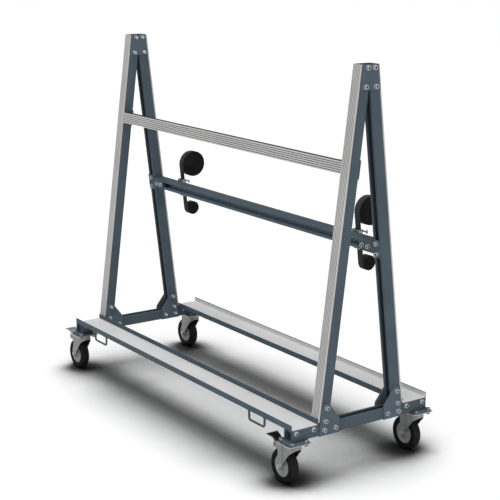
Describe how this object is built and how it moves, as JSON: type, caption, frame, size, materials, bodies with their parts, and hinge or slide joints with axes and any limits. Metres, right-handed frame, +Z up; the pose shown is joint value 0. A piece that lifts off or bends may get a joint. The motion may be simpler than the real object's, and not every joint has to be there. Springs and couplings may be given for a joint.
{
  "type": "sheet goods cart",
  "caption": "A-frame cart for sheet goods: leaning end frames, ribbed strips, narrow decks, rolled lashing straps and swivel casters with foot brakes.",
  "frame": {"origin": "on the floor under the middle of the bounding box, the casters trailing towards -X", "axes": "+X along the cart, +Y to the rear side with the rolled straps, +Z up"},
  "size_m": [1.6554, 0.6414, 1.412],
  "materials": {
    "slate_paint": "satin",
    "ribbed_strip": "matt",
    "deck_liner": "matt",
    "zinc_steel": "bright zinc",
    "fork_zinc": "dull zinc",
    "hub_plastic": "satin",
    "tyre_rubber": "matt",
    "pedal_black": "satin",
    "webbing": "woven"
  },
  "bodies": {
    "frame": {"left_front_upright": "slate_paint", "left_rear_upright": "slate_paint", "right_front_upright": "slate_paint", "right_rear_upright": "slate_paint", "left_cross_member": "slate_paint", "right_cross_member": "slate_paint", "left_gussets": "slate_paint", "right_gussets": "slate_paint", "left_top_plates": "slate_paint", "right_top_plates": "slate_paint", "front_rail": "slate_paint", "rear_rail": "slate_paint", "front_rail_brackets": "slate_paint", "rear_rail_brackets": "slate_paint", "front_tray": "slate_paint", "rear_tray": "slate_paint", "lashing_loops": "slate_paint", "mounting_plates": "slate_paint", "left_front_strip": "ribbed_strip", "left_rear_strip": "ribbed_strip", "right_front_strip": "ribbed_strip", "right_rear_strip": "ribbed_strip", "rail_strip": "ribbed_strip", "front_deck_liner": "deck_liner", "rear_deck_liner": "deck_liner", "caster_top_plates": "zinc_steel", "swivel_bearings": "zinc_steel", "left_buckle_frame": "zinc_steel", "right_buckle_frame": "zinc_steel", "buckle_pins": "zinc_steel", "frame_bolts": "zinc_steel", "rail_bolts": "zinc_steel", "deck_bolts": "zinc_steel", "caster_bolts": "zinc_steel", "deck_screws": "zinc_steel", "left_strap": "webbing", "right_strap": "webbing"},
    "front_left_swivel": {"front_left_fork": "fork_zinc", "front_left_axle": "zinc_steel"},
    "front_left_wheel": {"front_left_hub": "hub_plastic", "front_left_tyre": "tyre_rubber"},
    "front_left_brake": {"front_left_pedal": "fork_zinc"},
    "front_right_swivel": {"front_right_fork": "fork_zinc", "front_right_axle": "zinc_steel"},
    "front_right_wheel": {"front_right_hub": "hub_plastic", "front_right_tyre": "tyre_rubber"},
    "front_right_brake": {"front_right_pedal": "pedal_black"},
    "rear_left_swivel": {"rear_left_fork": "fork_zinc", "rear_left_axle": "zinc_steel"},
    "rear_left_wheel": {"rear_left_hub": "hub_plastic", "rear_left_tyre": "tyre_rubber"},
    "rear_right_swivel": {"rear_right_fork": "fork_zinc", "rear_right_axle": "zinc_steel"},
    "rear_right_wheel": {"rear_right_hub": "hub_plastic", "rear_right_tyre": "tyre_rubber"},
    "left_lever": {"left_cam_lever": "zinc_steel"},
    "right_lever": {"right_cam_lever": "zinc_steel"}
  },
  "joints": [
    {"name": "front_left_swivel_turn", "type": "hinge", "parent": "frame", "child": "front_left_swivel", "pos_m": [-0.70235, -0.2747, 0.155], "axis": [0, 0, 1], "continuous": true},
    {"name": "front_left_wheel_roll", "type": "hinge", "parent": "front_left_swivel", "child": "front_left_wheel", "pos_m": [-0.74935, -0.2747, 0.0625], "axis": [0, 1, 0], "continuous": true},
    {"name": "front_left_pedal_press", "type": "hinge", "parent": "front_left_swivel", "child": "front_left_brake", "pos_m": [-0.77835, -0.2747, 0.134], "axis": [0, -1, 0], "range_deg": [0, 18]},
    {"name": "front_right_swivel_turn", "type": "hinge", "parent": "frame", "child": "front_right_swivel", "pos_m": [0.78665, -0.2747, 0.155], "axis": [0, 0, 1], "continuous": true},
    {"name": "front_right_wheel_roll", "type": "hinge", "parent": "front_right_swivel", "child": "front_right_wheel", "pos_m": [0.73965, -0.2747, 0.0625], "axis": [0, 1, 0], "continuous": true},
    {"name": "front_right_pedal_press", "type": "hinge", "parent": "front_right_swivel", "child": "front_right_brake", "pos_m": [0.71065, -0.2747, 0.134], "axis": [0, -1, 0], "range_deg": [0, 18]},
    {"name": "rear_left_swivel_turn", "type": "hinge", "parent": "frame", "child": "rear_left_swivel", "pos_m": [-0.70235, 0.2747, 0.155], "axis": [0, 0, 1], "continuous": true},
    {"name": "rear_left_wheel_roll", "type": "hinge", "parent": "rear_left_swivel", "child": "rear_left_wheel", "pos_m": [-0.74935, 0.2747, 0.0625], "axis": [0, 1, 0], "continuous": true},
    {"name": "rear_right_swivel_turn", "type": "hinge", "parent": "frame", "child": "rear_right_swivel", "pos_m": [0.78665, 0.2747, 0.155], "axis": [0, 0, 1], "continuous": true},
    {"name": "rear_right_wheel_roll", "type": "hinge", "parent": "rear_right_swivel", "child": "rear_right_wheel", "pos_m": [0.73965, 0.2747, 0.0625], "axis": [0, 1, 0], "continuous": true},
    {"name": "left_lever_lift", "type": "hinge", "parent": "frame", "child": "left_lever", "pos_m": [-0.53685, 0.13468, 0.79095], "axis": [1, 0, 0], "range_deg": [0, 90]},
    {"name": "right_lever_lift", "type": "hinge", "parent": "frame", "child": "right_lever", "pos_m": [0.62115, 0.13468, 0.79095], "axis": [1, 0, 0], "range_deg": [0, 90]}
  ]
}
